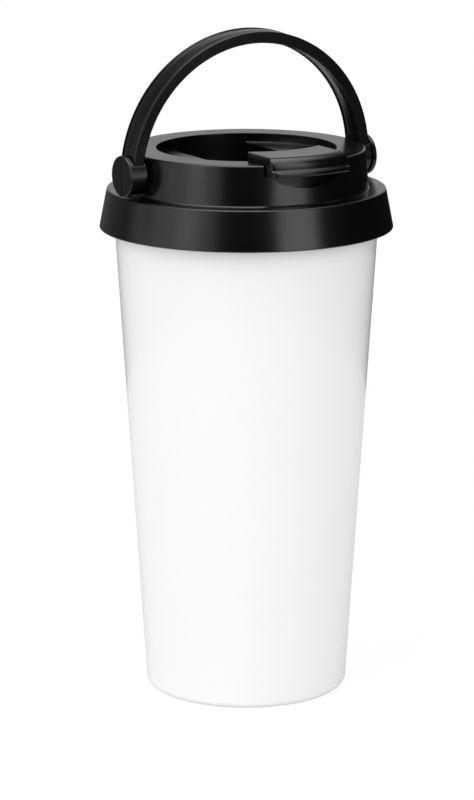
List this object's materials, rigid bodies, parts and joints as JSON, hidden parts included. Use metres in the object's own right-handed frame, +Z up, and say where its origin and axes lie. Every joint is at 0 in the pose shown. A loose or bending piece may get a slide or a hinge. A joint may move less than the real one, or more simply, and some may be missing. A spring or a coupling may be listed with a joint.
{
  "type": "insulated tumbler",
  "caption": "Tall tapered double-wall steel tumbler with a screw lid, a flip flap over the drinking hole and an arched carrying handle.",
  "frame": {"origin": "centre of the base, on the surface that the cup stands on", "axes": "+Z up along the cup's axis; the flap and its thumb scoop face -Y; the handle's pivots lie on a line along X"},
  "size_m": [0.0956, 0.0956, 0.2187],
  "materials": {
    "white_coat": "glossy white coating",
    "steel": "turned and brushed",
    "getter_metal": "sintered, dull",
    "lid_plastic": "satin black moulding",
    "plug_plastic": "satin black moulding",
    "silicone": "soft dark grey silicone",
    "flap_plastic": "satin black moulding",
    "handle_plastic": "satin black moulding"
  },
  "bodies": {
    "cup": {"outer_shell": "white_coat", "inner_liner": "steel", "shell_end": "steel", "getter": "getter_metal", "base_plate": "steel"},
    "lid": {"lid_cover": "lid_plastic", "lid_plug": "plug_plastic", "lid_gasket": "silicone", "vent_valve": "silicone", "flap_pin": "steel", "handle_pin_left": "handle_plastic", "handle_pin_right": "handle_plastic"},
    "flap": {"flap": "flap_plastic", "flap_stopper": "silicone"},
    "handle": {"handle": "handle_plastic"}
  },
  "joints": [
    {"name": "lid_lift", "type": "slide", "parent": "cup", "child": "lid", "axis": [0, 0, 1], "range_m": [0, 0.06]},
    {"name": "flap_open", "type": "hinge", "parent": "lid", "child": "flap", "pos_m": [0, -0.01, 0.1746], "axis": [-1, 0, 0], "range_deg": [0, 100]},
    {"name": "handle_swing", "type": "hinge", "parent": "lid", "child": "handle", "pos_m": [0, 0, 0.1743], "axis": [1, 0, 0], "range_deg": [-95, 67]}
  ]
}
